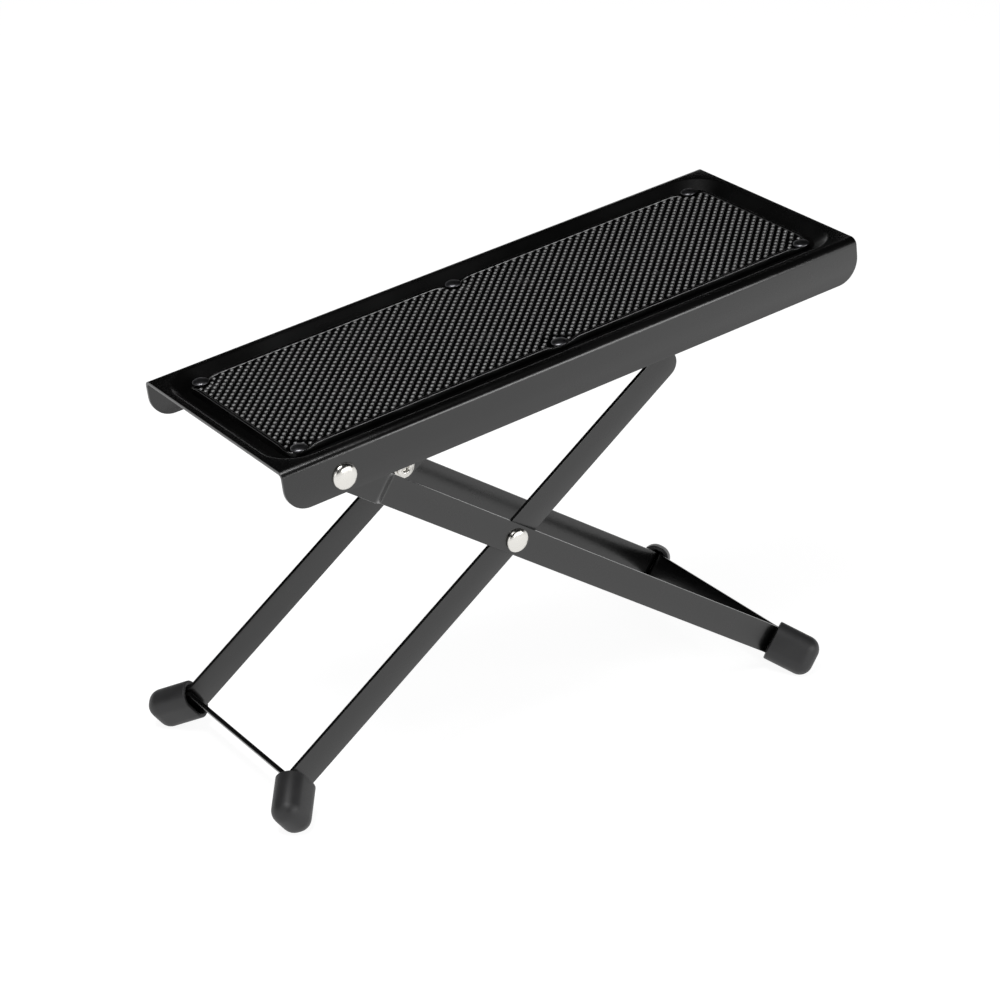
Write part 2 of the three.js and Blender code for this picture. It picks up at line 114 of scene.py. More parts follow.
# %% [markdown]
# ## Building materials from nodes
# A material is a small graph. One helper adds a node, sets it up and joins it, and one more turns the
# hex colour that a designer would note down into the linear numbers that the renderer works in.

# %% Helpers for materials
def linear(hex_colour):
    """An sRGB hex colour as linear numbers."""
    channels = [int(hex_colour[i : i + 2], 16) / 255 for i in (1, 3, 5)]
    return (*[c / 12.92 if c <= 0.04045 else ((c + 0.055) / 1.055) ** 2.4 for c in channels], 1.0)


def add(tree, kind, inputs=None, **settings):
    """Adds a node. An input is a value, or a pair of another node and one of its outputs."""
    node = tree.nodes.new(kind)
    for key, value in settings.items():
        setattr(node, key, value)
    for key, value in (inputs or {}).items():
        if isinstance(value, tuple) and isinstance(value[0], bpy.types.Node):
            tree.links.new(value[0].outputs[value[1]], node.inputs[key])
        else:
            node.inputs[key].default_value = value
    return node


def new_material(name):
    """A material without any nodes, and its tree."""
    material = bpy.data.materials.new(name)
    material.use_nodes = True
    material.node_tree.nodes.clear()
    return material, material.node_tree


print("linear mid grey", [round(c, 3) for c in linear("#808080")])

# %% [markdown]
# ## Satin black powder coat on steel
# The platform and the legs are sprayed with dry powder and baked. The powder flows to a tough skin that
# is not quite level: a faint ripple some 1 to 2 mm across, the orange peel, with finer grit on it. It
# gives a soft, broad shine, and black where nothing bright is mirrored. Handling has left hazy patches.

# %% Powder coat
ripple_size = 1.6 * MM
grit_size = 0.45 * MM
haze_size = 38 * MM


def powder_coat():
    """The paint. Its haze changes both its shine and its tint."""
    material, tree = new_material("satin_black_powder_coat")
    where = add(tree, "ShaderNodeTexCoord")
    ripple, grit, haze = [
        add(tree, "ShaderNodeTexNoise", {"Vector": (where, "Object"), "Scale": 1 / size, "Detail": detail})
        for size, detail in ((ripple_size, 2.0), (grit_size, 1.0), (haze_size, 4.0))
    ]
    shine = add(
        tree,
        "ShaderNodeMapRange",
        {"Value": (haze, "Fac"), "From Min": 0.35, "From Max": 0.65, "To Min": 0.24, "To Max": 0.3},
    )
    tint = add(tree, "ShaderNodeValToRGB", {"Fac": (haze, "Fac")})
    tint.color_ramp.elements[0].position = 0.35
    tint.color_ramp.elements[0].color = linear("#040404")
    tint.color_ramp.elements[1].position = 0.7
    tint.color_ramp.elements[1].color = linear("#080808")
    peel = add(tree, "ShaderNodeBump", {"Height": (ripple, "Fac"), "Strength": 0.12, "Distance": 0.25 * MM})
    bump = add(
        tree,
        "ShaderNodeBump",
        {"Height": (grit, "Fac"), "Strength": 0.12, "Distance": 0.08 * MM, "Normal": (peel, "Normal")},
    )
    shader = add(
        tree,
        "ShaderNodeBsdfPrincipled",
        {
            "Base Color": (tint, "Color"),
            "Roughness": (shine, "Result"),
            "IOR": 1.64,
            "Normal": (bump, "Normal"),
        },
    )
    add(tree, "ShaderNodeOutputMaterial", {"Surface": (shader, "BSDF")})
    return material


coat = powder_coat()
print("made", coat.name)

# %% [markdown]
# ## Moulded rubber, for the tread and for the feet
# Both are black rubber pressed in a mould. The tread's mould was polished. The tops of its studs are
# painted grey as a painted highlight, not as wear. The tread carries a point value named tip: 0 on the
# sheet, 0.5 on its eased edges, which shine more, and up to 1 on a stud's top, which gets the most
# painted highlight grey. The feet come from a blasted mould: a fine even grain, matt and a bit greyer,
# with the dusty bloom that such rubber gets.

# %% Rubber
bloom_size = 14 * MM
edge_tip = 0.5
# From this tip value up, the stud tops are painted a lighter grey: a painted highlight.
painted_highlight_from_tip = 0.55
sheet_shine = 0.2


def moulded_rubber(name, low, high, roughness, grain, depth, painted_highlight_grey=None):
    """Rubber between two colours, with a grain's size and depth, and a grey painted as a highlight on stud tips.
    """
    material, tree = new_material(name)
    where = add(tree, "ShaderNodeTexCoord")
    skin, bloom = [
        add(tree, "ShaderNodeTexNoise", {"Vector": (where, "Object"), "Scale": 1 / size, "Detail": detail})
        for size, detail in ((grain, 2.0), (bloom_size, 5.0))
    ]
    colour = add(tree, "ShaderNodeValToRGB", {"Fac": (bloom, "Fac")})
    colour.color_ramp.elements[0].position = 0.35
    colour.color_ramp.elements[0].color = linear(low)
    colour.color_ramp.elements[1].position = 0.68
    colour.color_ramp.elements[1].color = linear(high)
    dull = add(
        tree,
        "ShaderNodeMapRange",
        {
            "Value": (bloom, "Fac"),
            "From Min": 0.3,
            "From Max": 0.7,
            "To Min": roughness - 0.06,
            "To Max": roughness + 0.06,
        },
    )
    bump = add(tree, "ShaderNodeBump", {"Height": (skin, "Fac"), "Strength": 0.25, "Distance": depth})
    looks = {
        "Base Color": (colour, "Color"),
        "Roughness": (dull, "Result"),
        "IOR": 1.52,
        "Normal": (bump, "Normal"),
    }
    if painted_highlight_grey:
        # The tip value paints the tops of the studs grey: a painted highlight, not wear.
        tip = add(tree, "ShaderNodeAttribute", attribute_name="tip")
        painted_highlight_mask = add(tree, "ShaderNodeMapRange", {"Value": (tip, "Fac"), "From Min": painted_highlight_from_tip})
        # When it mixes colours, this node takes its factor at 0 and its colours at 6 and 7.
        painted_highlight_colour = add(
            tree,
            "ShaderNodeMix",
            {0: (painted_highlight_mask, "Result"), 6: (colour, "Color"), 7: linear(painted_highlight_grey)},
            data_type="RGBA",
        )
        polish = add(
            tree,
            "ShaderNodeMapRange",
            {"Value": (tip, "Fac"), "From Max": edge_tip, "To Min": sheet_shine},
        )
        # Its mixed colour comes out at 2.
        looks["Base Color"] = (painted_highlight_colour, 2)
        looks["Specular IOR Level"] = (polish, "Result")
    shader = add(tree, "ShaderNodeBsdfPrincipled", looks)
    add(tree, "ShaderNodeOutputMaterial", {"Surface": (shader, "BSDF")})
    return material


# The tread's #7a7a7a is the grey of the painted highlight on its stud tops.
tread_rubber = moulded_rubber(
    "tread_rubber_polished_mould", "#020202", "#050505", 0.22, 0.7 * MM, 0.02 * MM, painted_highlight_grey="#7a7a7a"
)
foot_rubber = moulded_rubber("foot_rubber_blasted_mould", "#202021", "#29292a", 0.5, 0.6 * MM, 0.12 * MM)
print("made", tread_rubber.name, "and", foot_rubber.name)

# %% [markdown]
# ## Nickel plate, bright and black
# The big rivets are steel with bright nickel plate over it, a warm white metal. The small rivets of the
# tread are black nickel, which is darker and mirrors a little more softly. Tumbling in the plating
# barrel leaves fine dents and hazy spots on both.

# %% Plated metal
dent_size = 1.3 * MM


def nickel_plate(name, colour, roughness):
    """A plated metal. The same dents that bend its mirror image also haze it."""
    material, tree = new_material(name)
    where = add(tree, "ShaderNodeTexCoord")
    dents = add(
        tree, "ShaderNodeTexNoise", {"Vector": (where, "Object"), "Scale": 1 / dent_size, "Detail": 3.0}
    )
    shine = add(
        tree,
        "ShaderNodeMapRange",
        {
            "Value": (dents, "Fac"),
            "From Min": 0.3,
            "From Max": 0.7,
            "To Min": roughness - 0.05,
            "To Max": roughness + 0.07,
        },
    )
    bump = add(tree, "ShaderNodeBump", {"Height": (dents, "Fac"), "Strength": 0.15, "Distance": 0.08 * MM})
    shader = add(
        tree,
        "ShaderNodeBsdfPrincipled",
        {
            "Base Color": linear(colour),
            "Metallic": 1.0,
            "Roughness": (shine, "Result"),
            "Normal": (bump, "Normal"),
        },
    )
    add(tree, "ShaderNodeOutputMaterial", {"Surface": (shader, "BSDF")})
    return material


bright_nickel = nickel_plate("bright_nickel_plate", "#dcdad5", 0.22)
black_nickel = nickel_plate("black_nickel_plate", "#707073", 0.32)
print("made", bright_nickel.name, "and", black_nickel.name)

# %% [markdown]
# ## From a drawn shape to a finished piece
# Each piece is drawn in a bmesh, in millimetres. It may then get a wall from Solidify and softened edges
# from Bevel, which are worked into the mesh at once. At last the mesh is carried to its place, rides
# on a body of the model, and stands in for its node.

# %% Helpers for pieces
sides = (("near", -1), ("far", 1))
weld = 0.001
# Edges that turn by more than these many degrees are softened by a bevel, or shaded as sharp.
soft_from = 40
sharp_from = 38


def shaped(bm, name, *modifiers, clean=True):
    """The bmesh as an object, with its modifiers worked in."""
    if clean:
        bmesh.ops.remove_doubles(bm, verts=bm.verts, dist=weld)
        bmesh.ops.recalc_face_normals(bm, faces=bm.faces)
    mesh = bpy.data.meshes.new(name)
    bm.to_mesh(mesh)
    bm.free()
    piece = bpy.data.objects.new(name, mesh)
    bpy.context.scene.collection.objects.link(piece)
    for kind, settings in modifiers:
        modifier = piece.modifiers.new(kind.lower(), kind)
        for key, value in settings.items():
            setattr(modifier, key, value)
    if modifiers:
        worked = piece.evaluated_get(bpy.context.evaluated_depsgraph_get())
        piece.data = bpy.data.meshes.new_from_object(worked)
        piece.modifiers.clear()
        piece.data.name = name
    return piece


def softened(width):
    """Settings for edges that are rounded off by a small radius."""
    only_edges = {"limit_method": "ANGLE", "angle_limit": math.radians(soft_from)}
    return ("BEVEL", {"width": width, "segments": 2, **only_edges})


def wall(thickness, offset=0.0):
    """Settings for a sheet's thickness. Offset -1 grows it inwards and 0 to both sides."""
    return ("SOLIDIFY", {"thickness": thickness, "offset": offset, "use_even_offset": True})


def settle(piece, place, material, body, node, sharp=sharp_from):
    """Carries the mesh to its place, gives it its finish and hides the node that it stands in for."""
    piece.data.transform(place)
    piece.data.shade_smooth()
    piece.data.set_sharp_from_angle(angle=math.radians(sharp))
    piece.data.materials.clear()
    piece.data.materials.append(material)
    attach(piece, body)
    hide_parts(node)
    print(piece.name, len(piece.data.polygons), "faces")


print("sides", [name for name, _ in sides], "and edges sharp from", sharp_from, "degrees")

# %% [markdown]
# ## Drawing with operators
# The same few moves make most of the pieces: a sheet is drawn, its corners are rounded, its edges are
# drawn out, and what is too long is cut off. The operators return a mix of vertices, edges and faces,
# so that small helpers pick out the ones that the next move needs.

# %% Helpers for drawing
close = 0.01


def everything(bm):
    """All that a bmesh holds, as an operator takes it."""
    return list(bm.verts) + list(bm.edges) + list(bm.faces)


def picked(geom, kind):
    """The vertices, edges or faces among what an operator returns."""
    return [g for g in geom if isinstance(g, kind)]


def verts_of(edges):
    """The vertices of some edges, each one once."""
    return list(dict.fromkeys(v for e in edges for v in e.verts))


def lie_at(verts, axis, value):
    """Whether all of some vertices are at a value on the axis 0, 1 or 2."""
    return all(abs(v.co[axis] - value) < close for v in verts)


def rounded(bm, geom, radius, segments, affect="EDGES", clamp_overlap=False):
    """Rounds off edges or corners, with the profile that the editor uses."""
    return bmesh.ops.bevel(
        bm,
        geom=geom,
        offset=radius,
        segments=segments,
        profile=0.5,
        affect=affect,
        clamp_overlap=clamp_overlap,
        material=-1,
    )


def flat_sheet(bm, length, width, centre_x, height=0):
    """Draws a rectangle. Returns its corners."""
    corners = bmesh.ops.create_grid(bm, x_segments=1, y_segments=1, size=0.5)["verts"]
    bmesh.ops.scale(bm, vec=(length, width, 1), verts=corners)
    bmesh.ops.translate(bm, vec=(centre_x, 0, height), verts=corners)
    return corners


def rounded_sheet(bm, length, width, corner, centre_x, height=0):
    """Draws a rectangle with round corners. Returns its face."""
    corners = flat_sheet(bm, length, width, centre_x, height)
    arcs = rounded(bm, corners, corner, segments=8, affect="VERTICES")
    return arcs["verts"][0].link_faces[0]


def drawn_out(bm, edges, move):
    """Draws edges out into faces. Returns the new edges."""
    made = bmesh.ops.extrude_edge_only(bm, edges=edges)["geom"]
    bmesh.ops.translate(bm, vec=move, verts=picked(made, bmesh.types.BMVert))
    return picked(made, bmesh.types.BMEdge)


def closed_cut(bm, height):
    """Cuts off what lies below a height and closes the cut. Returns the new face."""
    cut = bmesh.ops.bisect_plane(
        bm, geom=everything(bm), plane_co=(0, 0, height), plane_no=(0, 0, -1), clear_outer=True
    )
    rim = picked(cut["geom_cut"], bmesh.types.BMEdge)
    return bmesh.ops.contextual_create(bm, geom=rim)["faces"][0]


trial = bmesh.new()
rounded_sheet(trial, 20, 10, 2, 0)
print("a sheet with four round corners has", len(trial.verts), "points")
trial.free()

# %% [markdown]
# ## Platform
# The platform is one pressed sheet of steel, 1.5 mm thick: a channel with two flanges down, and a
# shallow tray for the tread. It could be cut out of a thick block, but bending a thin surface and giving
# it a wall afterwards is nearer to how it is made, and keeps the thickness even round every bend. The
# flat border is filled between two outlines, and edges drawn out from it make the flanges and the tray.
# Beside every bend a narrow strip stays flat, so that the bend has room for its radius.

# %% Sizes of the platform
plate_length = 300.0
plate_width = 117.0
plate_sheet = 1.5
plate_edge = 0.3
flange_height = 19.6
flange_corner = 11.0
plate_bend = 3.2
bend_spare = 0.225
tray_length = 284.0
tray_width = 96.0
tray_corner = 10.0
tray_depth = 4.2
tray_slope = 5.0
press_radius = 0.4
lip_spare = 1.8
middle_x = plate_length / 2
flat_width = plate_width - 2 * (plate_bend + bend_spare)
mouth_margin = tray_slope + lip_spare
mouth_length = tray_length + 2 * mouth_margin
mouth_width = tray_width + 2 * mouth_margin
print("platform", plate_length, "x", plate_width, "mm")


# %% Platform
def resized(bm, verts, along, across):
    """Scales an outline about the platform's middle."""
    about_middle = Matrix.Translation((-middle_x, 0, 0))
    bmesh.ops.scale(bm, vec=(along, across, 1), space=about_middle, verts=verts)


def pressed_platform():
    """The border with its flanges. Also returns the edges of the mouth in it."""
    bm = bmesh.new()
    mouth = rounded_sheet(bm, mouth_length, mouth_width, tray_corner + mouth_margin, middle_x)
    mouth_edges = list(mouth.edges)
    border = flat_sheet(bm, plate_length, flat_width, middle_x)
    border_edges = list(border[0].link_faces[0].edges)
    bmesh.ops.delete(bm, geom=list(bm.faces), context="FACES_ONLY")
    bmesh.ops.triangle_fill(
        bm, edges=mouth_edges + border_edges, use_beauty=True, use_dissolve=False, normal=(0, 0, 1)
    )
    # The long sides go out to the full width and then down.
    for _, side in sides:
        long_side = [e for e in border_edges if lie_at(e.verts, 1, side * flat_width / 2)]
        out = drawn_out(bm, long_side, (0, side * (plate_width - flat_width) / 2, 0))
        bend = [e for e in out if lie_at(e.verts, 1, side * plate_width / 2)]
        down = drawn_out(bm, bend, (0, 0, -flange_height))
        low = [v for v in verts_of(down) if v.co.z < -flange_height / 2]
        rounded(bm, bend, plate_bend, segments=8)
        rounded(bm, low, flange_corner, segments=12, affect="VERTICES")
    return bm, mouth_edges


def pressed_tray(bm, edges):
    """The tray's lip, its leaning wall and its floor, each drawn in from the last."""
    rings = []
    length, width = mouth_length, mouth_width
    for next_length, next_width, height in (
        (tray_length + 2 * tray_slope, tray_width + 2 * tray_slope, 0.0),
        (tray_length, tray_width, -tray_depth),
        (tray_length - 4 * press_radius, tray_width - 4 * press_radius, -tray_depth),
    ):
        edges = [e for e in drawn_out(bm, edges, (0, 0, 0)) if e.is_boundary]
        verts = verts_of(edges)
        resized(bm, verts, next_length / length, next_width / width)
        bmesh.ops.translate(bm, vec=(0, 0, height - verts[0].co.z), verts=verts)
        length, width = next_length, next_width
        rings.append(edges)
    bmesh.ops.contextual_create(bm, geom=edges)
    rounded(bm, rings[0] + rings[1], press_radius, segments=4)


plate, mouth_edges = pressed_platform()
pressed_tray(plate, mouth_edges)
bmesh.ops.remove_doubles(plate, verts=plate.verts, dist=weld)
bmesh.ops.recalc_face_normals(plate, faces=plate.faces)
# The wall grows down from the drawn surface, whichever way its faces were turned.
top_up = max(plate.faces, key=lambda f: f.calc_area()).normal.z > 0
platform = shaped(
    plate,
    "pressed_platform",
    wall(plate_sheet, -1.0 if top_up else 1.0),
    softened(plate_edge),
    clean=False,
)
settle(platform, on_platform, coat, "platform_assembly", "platform")

# %% [markdown]
# ## Leg frames
# Each frame is one flat bar, 13.6 by 2 mm, bent on edge like a ribbon: along one arm, pinched out into a
# narrow ear at the corner, across, and back. A curve with a bevel object could make it, but its section
# would twist at the tight corners. So its middle line is drawn as an edge path, raised by the bar's
# width, bent by bevelling the upright edges, and given its 2 mm wall. The arms end in half rounds, which
# leave a hair of flat between them, because two corners that met would merge.

# %% Sizes of the leg frames
bar_width = 13.6
bar = 2.0
bar_bend = 3.0
bar_edge = 0.35
end_flat = 0.02
ear_gap = 1.0
ear_reach = 15.0
outer_foot_reach = 174.9
inner_foot_reach = 142.8
outer_arm_at_pivot = 53.0
outer_arm = 48.6
inner_arm = 45.7
step_start = 25.5
step_length = 5.5
print("bar", bar_width, "x", bar, "mm")


# %% Bending a flat bar
def bent_bar(path):
    """A strip along (x, y, radius) points, bent by its radius at each inner one."""
    bm = bmesh.new()
    line = [bm.verts.new((x, y, -bar_width / 2)) for x, y, _ in path]
    edges = [bm.edges.new(pair) for pair in zip(line, line[1:])]
    drawn_out(bm, edges, (0, 0, bar_width))
    uprights = [next(e for e in v.link_edges if e.other_vert(v).co.z > 0) for v in line]
    points = [Vector((x, y)) for x, y, _ in path]
    offsets = {}
    for i in range(1, len(path) - 1):
        turn = (points[i] - points[i - 1]).angle(points[i + 1] - points[i])
        offset = round(path[i][2] * math.tan(turn / 2), 4)
        offsets.setdefault(offset, []).append(uprights[i])
    for offset, bends in offsets.items():
        rounded(bm, bends, offset, segments=6, clamp_overlap=True)
    return bm


def leg_frame(name, arms, foot_reach):
    """A frame with its feet at positive x. Arms are (x, outer face) points from the end inwards."""
    # An ear is two layers of bar with a gap between them, and points out at 45 degrees.
    across = (ear_gap + bar) / 2
    shift = across * math.sqrt(2)
    out = ear_reach / math.sqrt(2)
    step = across / math.sqrt(2)
    cross_x = foot_reach - bar / 2
    arm_y = arms[-1][1] - bar / 2
    near = [(x, bar / 2 - y, bar_bend) for x, y in arms] + [
        (cross_x - shift, -arm_y, bar_bend),
        (cross_x + out - step, -arm_y - out - step, across),
        (cross_x + out + step, -arm_y - out + step, across),
        (cross_x, shift - arm_y, bar_bend),
    ]
    bm = bent_bar(near + [(x, -y, radius) for x, y, radius in reversed(near)])
    tips = [v for v in bm.verts if lie_at([v], 0, arms[0][0])]
    rounded(bm, tips, bar_width / 2 - end_flat, segments=10, affect="VERTICES")
    return shaped(bm, name, wall(bar), softened(bar_edge))


print("an ear is", ear_gap + 2 * bar, "mm thick")

# %% Two leg frames
outer_arms = [
    (-pivot_arm - bar_width / 2, outer_arm_at_pivot),
    (step_start - pivot_arm, outer_arm_at_pivot),
    (step_start + step_length - pivot_arm, outer_arm),
]
inner_arms = [(-rod_arm - bar_width / 2, inner_arm)]
half_turn = Matrix.Rotation(math.pi, 4, "Y")
outer_frame = leg_frame("outer_legs_bar", outer_arms, outer_foot_reach)
settle(outer_frame, on_outer, coat, "outer_legs", "outer_leg_frame")
inner_frame = leg_frame("inner_legs_bar", inner_arms, inner_foot_reach)
settle(inner_frame, on_inner @ half_turn, coat, "inner_legs", "inner_leg_frame")

# %% [markdown]
# ## Rubber feet
# A foot is a moulded boot with thick walls, pushed over the ear of a corner, so that it points out along
# the corner's diagonal. It is a block with very round edges, cut off where its mouth is. The mouth has a
# rolled edge and a hollow that narrows to the ear. The underside is worn flat where it stands.

# %% Sizes of the feet
foot_length = 22.4
foot_width = 14.0
foot_depth = 19.2
foot_round = 6.3
outer_mouth = -1.4
inner_mouth = -2.0
mouth_roll = 0.55
mouth_wall = 1.7
mouth_depth = 4.0
pocket_width = 5.6
pocket_depth = 14.2
print("foot", foot_width, "x", foot_depth, "mm")


# %% Rubber boot
def rubber_boot(mouth):
    """A boot whose closed end points along z."""
    bm = bmesh.new()
    block = bmesh.ops.create_cube(bm, size=1)["verts"]
    bmesh.ops.scale(bm, vec=(foot_width, foot_depth, 2 * foot_length), verts=block)
    bmesh.ops.translate(bm, vec=(0, 0, mouth), verts=block)
    rounded(bm, list(bm.edges), foot_round, segments=8)
    face = closed_cut(bm, mouth)
    bmesh.ops.inset_region(bm, faces=[face], thickness=mouth_wall, use_even_offset=True)
    for depth in (mouth_depth, ear_reach + bar - mouth - mouth_depth):
        width, tall = [max(v.co[i] for v in face.verts) - min(v.co[i] for v in face.verts) for i in (0, 1)]
        face = bmesh.ops.extrude_discrete_faces(bm, faces=[face])["faces"][0]
        bmesh.ops.scale(bm, vec=(pocket_width / width, pocket_depth / tall, 1), verts=face.verts)
        bmesh.ops.translate(bm, vec=(0, 0, depth), verts=face.verts)
    bmesh.ops.remove_doubles(bm, verts=bm.verts, dist=weld)
    # The mouth's outer and inner edges stand on a wall; those across its flat rim don't.
    at_mouth = [
        e
        for e in bm.edges
        if lie_at(e.verts, 2, mouth) and any(abs(f.normal.z) < 0.9 for f in e.link_faces)
    ]
    rounded(bm, at_mouth, mouth_roll, segments=4)
    return bm


def boot_place(frame_place, direction, foot_reach, arm_y, side):
    """The place of a boot that points out along the diagonal of a frame's corner."""
    axis = Vector((direction, side, 0)).normalized()
    upright = Vector((0, 0, 1))
    turn = Matrix((upright.cross(axis), upright, axis)).transposed().to_4x4()
    return frame_place @ Matrix.Translation((direction * foot_reach, side * arm_y, 0)) @ turn


def worn_flat(piece):
    """Cuts a placed piece off at the floor."""
    bm = bmesh.new()
    bm.from_mesh(piece.data)
    closed_cut(bm, 0)
    bmesh.ops.recalc_face_normals(bm, faces=bm.faces)
    bm.to_mesh(piece.data)
    bm.free()
    piece.data.set_sharp_from_angle(angle=math.radians(sharp_from))


print("hollow of a foot", pocket_width, "x", pocket_depth, "mm")

# %% Four feet
for side_name, side in sides:
    for kind, place, direction, reach, arm, mouth in (
        ("outer", on_outer, 1, outer_foot_reach, outer_arm, outer_mouth),
        ("inner", on_inner, -1, inner_foot_reach, inner_arm, inner_mouth),
    ):
        boot = shaped(rubber_boot(mouth), f"{kind}_rubber_foot_{side_name}")
        at = boot_place(place, direction, reach, arm, side)
        settle(boot, at, foot_rubber, f"{kind}_legs", f"{kind}_foot_{side_name}")
        worn_flat(boot)

# %% [markdown]
# ## Rivets, spacers and washers
# Everything that turns here is a round piece, made on a lathe or headed in a die. A profile spun once
# about its axis makes each of them. A rivet has a domed head outside and a hollow tail inside, which the
# riveting tool has rolled outwards over a washer. The head's dome is a quarter circle, flattened.

# %% Sizes of the rivets
shank_radius = 3.0
pivot_head_radius = 5.8
pivot_dome = 3.0
scissor_head_radius = 5.5
scissor_dome = 2.7
head_edge = 0.6
head_chamfer = 0.15
tail_radius = 4.2
tail_height = 1.6
tail_bore_radius = 1.7
tail_round = 0.35
tail_crown = 0.25
bore_radius = 3.08
washer_radius = 5.5
washer_height = 1.0
washer_chamfer = 0.15
seat_gap = 0.1
rivet_sharp_from = 45
print("rivet heads", 2 * pivot_head_radius, "and", 2 * scissor_head_radius, "mm across")


# %% Spinning a profile
def spun(profile, head=None, steps=40):
    """A profile of (radius, height) points spun about z. A head adds a dome: (radius, height, base)."""
    bm = bmesh.new()
    line = [bm.verts.new((radius, 0, height)) for radius, height in profile]
    if head:
        radius, height, base = head
        rim = bm.verts.new((radius, 0, base))
        line.append(rim)
        bmesh.ops.spin(
            bm,
            geom=[rim],
            cent=(0, 0, base),
            axis=(0, -1, 0),
            dvec=(0, 0, 0),
            angle=math.pi / 2,
            steps=10,
            use_merge=False,
        )
        raised = [v for v in bm.verts if v.co.z > base + weld and v not in line]
        about_base = Matrix.Translation((0, 0, -base))
        bmesh.ops.scale(bm, vec=(1, 1, height / radius), space=about_base, verts=raised)
    for pair in zip(line, line[1:]):
        bm.edges.new(pair)
    bmesh.ops.spin(
        bm,
        geom=list(bm.verts) + list(bm.edges),
        cent=(0, 0, 0),
        axis=(0, 0, 1),
        dvec=(0, 0, 0),
        angle=2 * math.pi,
        steps=steps,
        use_merge=True,
    )
    bmesh.ops.remove_doubles(bm, verts=bm.verts, dist=weld / 2)
    bmesh.ops.dissolve_degenerate(bm, edges=bm.edges, dist=weld / 5)
    return bm


def pin_place(frame_place, x, z, side):
    """The place of a piece spun about z whose head points out sideways."""
    turn = Matrix.Rotation(-side * math.pi / 2, 4, "X")
    return frame_place @ Matrix.Translation((x, 0, z)) @ turn


trial = spun([(0, 0), (1, 0), (1, 1)])
print("a profile of three points turns into", len(trial.faces), "faces")
trial.free()


# %% Rivet and washer
def hollow_rivet(name, head_radius, dome, seat, inner):
    """A rivet from its rolled tail at inner to its head on seat."""
    end = inner - tail_height
    middle = inner - tail_height / 2
    profile = [
        (0, inner),
        (tail_bore_radius, inner),
        (tail_bore_radius, middle),
        (tail_bore_radius + tail_round, end + tail_crown),
        ((tail_bore_radius + tail_radius) / 2, end),
        (tail_radius - tail_round, end + tail_crown),
        (tail_radius, middle),
        ((shank_radius + tail_radius) / 2, inner - seat_gap),
        (shank_radius, inner - seat_gap),
        (shank_radius, seat + seat_gap),
        (head_radius - head_chamfer, seat + seat_gap),
        (head_radius, seat + seat_gap + head_chamfer),
    ]
    return shaped(spun(profile, (head_radius, dome - head_edge, seat + head_edge)), name)


def flat_ring(name, low, high):
    """A spacer or a washer between two heights."""
    profile = [
        (bore_radius, low),
        (washer_radius - washer_chamfer, low),
        (washer_radius, low + washer_chamfer),
        (washer_radius, high - washer_chamfer),
        (washer_radius - washer_chamfer, high),
        (bore_radius, high),
        (bore_radius, low),
    ]
    return shaped(spun(profile), name)


print("rivet tail rolled to", 2 * tail_radius, "mm")

# %% [markdown]
# ## The platform's pivots and the scissor pivots
# At each pivot lie, from the outside in: the head, the flange or the outer arm, a spacer, the arm inside
# it, and a washer under the rolled tail. So the pieces are placed from the faces that they clamp, which
# are told by how far they lie from the middle of the footrest.

# %% Pivots
def pivot(kind, place, x, z, body, head, seat, spacer, arm_inside):
    """The rivet, spacer and washer at both ends of a pivot. A head is (radius, height)."""
    washer_face = arm_inside - seat_gap
    washer_low = washer_face - washer_height
    for side_name, side in sides:
        at = pin_place(place, x, z, side)
        pieces = {
            "rivet": hollow_rivet(f"{kind}_hollow_rivet_{side_name}", *head, seat, washer_low),
            "spacer": flat_ring(f"{kind}_ring_{side_name}", spacer[0] + seat_gap, spacer[1] - seat_gap),
            "washer": flat_ring(f"{kind}_tail_ring_{side_name}", washer_low, washer_face),
        }
        for part, piece in pieces.items():
            node = f"{kind}_{part}_{side_name}"
            settle(piece, at, bright_nickel, body, node, sharp=rivet_sharp_from)


pivot(
    "platform_pivot",
    on_platform,
    x=pivot_inset,
    z=-pivot_drop,
    body="platform_assembly",
    head=(pivot_head_radius, pivot_dome),
    seat=plate_width / 2,
    spacer=(outer_arm_at_pivot, plate_width / 2 - plate_sheet),
    arm_inside=outer_arm_at_pivot - bar,
)
pivot(
    "scissor",
    on_outer,
    x=0,
    z=0,
    body="outer_legs",
    head=(scissor_head_radius, scissor_dome),
    seat=outer_arm,
    spacer=(inner_arm, outer_arm - bar),
    arm_inside=inner_arm - bar,
)

# %% [markdown]
# ## Tread
# The tread is a thick rubber sheet with a plain rim, and inside it a field of round studs that grip the
# shoe. Its walls lean in towards the top, as the mould needs to let it go. Six small rivets press it
# down, so that the rim dips beside each of them. A displacement texture would blur such sharp little
# studs, and two thousand separate balls would be heavy, so one dome with some two dozen faces is doubled,
# and doubled again, into the field. The sheet is cut into strips around each rivet, so that it has
# points enough to be pressed down smoothly.

# %% Sizes of the tread
mat_length = 276.0
mat_width = 88.0
mat_thickness = 3.3
mat_corner = 6.0
mat_rim = 1.3
mat_rim_slope = 0.2
mat_lip_round = 0.45
mat_sharp_from = 50
mat_draft = 0.3
mat_top = -0.8
stud_height = 0.9
dimple = 1.2
dimple_spread = 9.5
strip_cuts = (1.5, 3.0, 4.6, 6.2, 8.0, 10.0)
tread_rivet_x = {"low": 18.0, "middle": 148.8, "high": 282.0}
tread_rivet_y = 41.6
tread_head_radius = 3.7
tread_rivets = [Vector((x, side * tread_rivet_y)) for x in tread_rivet_x.values() for _, side in sides]
print("tread", mat_length, "x", mat_width, "mm, held by", len(tread_rivets), "rivets")


# %% Tread sheet
def pressed(x, y):
    """The share of the dimple's depth at a point: 1 under a rivet's head, 0 well away from it."""
    near = min((Vector((x, y)) - rivet).length for rivet in tread_rivets)
    away = min(max((near - tread_head_radius) / (dimple_spread - tread_head_radius), 0), 1)
    return (1 - away) ** 2 * (1 + 2 * away)


